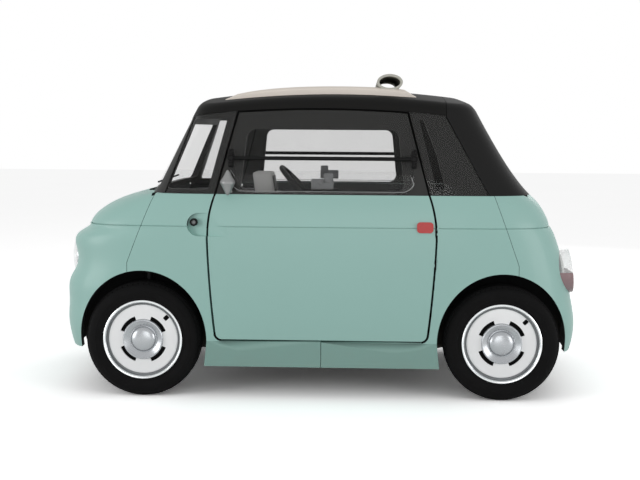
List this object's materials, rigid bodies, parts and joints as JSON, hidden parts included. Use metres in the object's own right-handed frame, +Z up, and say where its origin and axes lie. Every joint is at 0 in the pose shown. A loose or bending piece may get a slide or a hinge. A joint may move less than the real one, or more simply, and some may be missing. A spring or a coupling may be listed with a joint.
{
  "type": "two-seat electric microcar with canvas roof",
  "caption": "Boxy rounded microcar with mirrored end panels, opposed hinged doors, flip windows and a rolled-back canvas roof on plain steel wheels.",
  "frame": {"origin": "middle of the bounding box, on the road", "axes": "+X towards the tail, +Y to the right side, +Z up; the nose points to -X"},
  "size_m": [2.5327, 1.4936, 1.5666],
  "materials": {
    "body_paint": "satin",
    "sill_paint": "satin",
    "black_trim": "matte",
    "canopy_black": "matte",
    "dark_glass": "tinted",
    "clear_glass": "clear",
    "lamp_lens": "clear",
    "tail_lens": "clear",
    "liner_plastic": "matte",
    "cream_canvas": "woven",
    "roll_canvas": "woven",
    "chassis_steel": "satin",
    "seat_fabric": "woven",
    "dash_plastic": "matte",
    "pod_plastic": "matte",
    "motor_alloy": "cast",
    "button_black": "matte",
    "mirror_chrome": "polished",
    "marker_red": "gloss",
    "tyre_rubber": "matte",
    "wheel_steel": "satin"
  },
  "bodies": {
    "body": {"nose_shell": "body_paint", "tail_shell": "body_paint", "front_wings": "body_paint", "rear_wings": "body_paint", "sills": "sill_paint", "headlamps": "lamp_lens", "tail_lamps": "tail_lens", "arch_liners": "liner_plastic", "cabin_frame": "black_trim", "roof_shell": "black_trim", "canopy": "canopy_black", "windscreen": "clear_glass", "quarter_glass": "dark_glass", "rear_window": "clear_glass", "canvas_edges": "cream_canvas", "canvas_roll": "roll_canvas", "chassis": "liner_plastic", "front_arms": "chassis_steel", "rear_axle": "chassis_steel", "seat_left": "seat_fabric", "seat_right": "seat_fabric", "dashboard": "dash_plastic", "steering_column": "dash_plastic", "instrument_pod": "pod_plastic", "drive_unit": "motor_alloy", "battery": "motor_alloy", "handle_buttons": "button_black"},
    "steering_wheel": {"steering_wheel": "dash_plastic"},
    "door_left": {"door_left_panel": "body_paint", "door_left_frame": "black_trim", "door_left_glass": "dark_glass", "door_left_bar": "button_black", "door_left_mirror": "mirror_chrome", "door_left_marker": "marker_red"},
    "knuckle_left": {"knuckle_left": "chassis_steel"},
    "wheel_front_left": {"tyre_front_left": "tyre_rubber", "rim_front_left": "wheel_steel"},
    "wheel_rear_left": {"tyre_rear_left": "tyre_rubber", "rim_rear_left": "wheel_steel"},
    "door_right": {"door_right_panel": "body_paint", "door_right_frame": "black_trim", "door_right_glass": "dark_glass", "door_right_bar": "button_black", "door_right_mirror": "mirror_chrome", "door_right_marker": "marker_red"},
    "knuckle_right": {"knuckle_right": "chassis_steel"},
    "wheel_front_right": {"tyre_front_right": "tyre_rubber", "rim_front_right": "wheel_steel"},
    "wheel_rear_right": {"tyre_rear_right": "tyre_rubber", "rim_rear_right": "wheel_steel"}
  },
  "joints": [
    {"name": "door_left_hinge", "type": "hinge", "parent": "body", "child": "door_left", "pos_m": [0.5535, -0.698, 0.8], "axis": [0, 0, 1], "range_deg": [0, 65]},
    {"name": "door_right_hinge", "type": "hinge", "parent": "body", "child": "door_right", "pos_m": [-0.5285, 0.698, 0.8], "axis": [0, 0, 1], "range_deg": [0, 65]},
    {"name": "steering", "type": "hinge", "parent": "body", "child": "knuckle_left", "pos_m": [-0.8495, -0.56, 0.2785], "axis": [0, 0, 1], "range_deg": [-30, 30]},
    {"name": "steering_right", "type": "hinge", "parent": "body", "child": "knuckle_right", "pos_m": [-0.8495, 0.56, 0.2785], "axis": [0, 0, 1], "range_deg": [-30, 30]},
    {"name": "steering_wheel_turn", "type": "hinge", "parent": "body", "child": "steering_wheel", "pos_m": [-0.08019, -0.262, 0.96616], "axis": [0.7314, 0, 0.682], "range_deg": [-420, 420]},
    {"name": "wheel_front_left_spin", "type": "hinge", "parent": "knuckle_left", "child": "wheel_front_left", "pos_m": [-0.8495, -0.59, 0.2785], "axis": [0, 1, 0], "continuous": true},
    {"name": "wheel_front_right_spin", "type": "hinge", "parent": "knuckle_right", "child": "wheel_front_right", "pos_m": [-0.8495, 0.59, 0.2785], "axis": [0, 1, 0], "continuous": true},
    {"name": "wheel_rear_left_spin", "type": "hinge", "parent": "body", "child": "wheel_rear_left", "pos_m": [0.8785, -0.59, 0.2785], "axis": [0, 1, 0], "continuous": true},
    {"name": "wheel_rear_right_spin", "type": "hinge", "parent": "body", "child": "wheel_rear_right", "pos_m": [0.8785, 0.59, 0.2785], "axis": [0, 1, 0], "continuous": true}
  ],
  "couplings": [
    {"joint": "steering_right", "follows": "steering", "ratio": 1},
    {"joint": "steering_wheel_turn", "follows": "steering", "ratio": 14}
  ]
}
